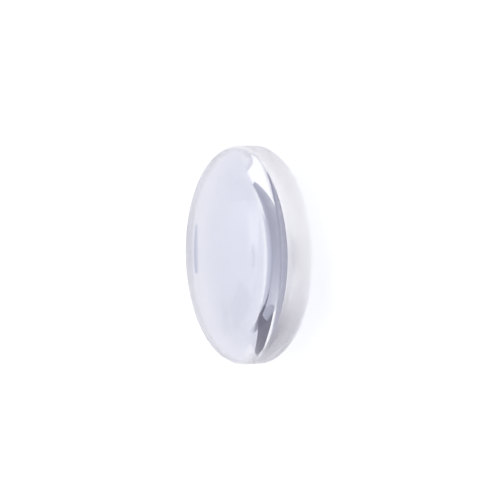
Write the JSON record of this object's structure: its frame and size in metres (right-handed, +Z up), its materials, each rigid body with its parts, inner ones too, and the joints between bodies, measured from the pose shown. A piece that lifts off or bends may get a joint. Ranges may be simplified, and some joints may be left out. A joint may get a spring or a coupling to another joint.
{
  "type": "plano-convex lens",
  "caption": "Round glass lens with one flat and one convex polished face, a fine-ground edge and narrow protective bevels; it collects or focuses light.",
  "frame": {"origin": "vertex of the crown, where the optical axis leaves the convex face; it is the lowest point of the lens as it lies", "axes": "+Z up the optical axis, from the crown to the flat face; the lens is round about Z"},
  "size_m": [0.0254, 0.0254, 0.0063],
  "materials": {
    "crown_glass": "clear optical crown glass, both faces polished, edge and bevels fine ground"
  },
  "bodies": {
    "root": {"lens": "crown_glass"}
  },
  "joints": []
}
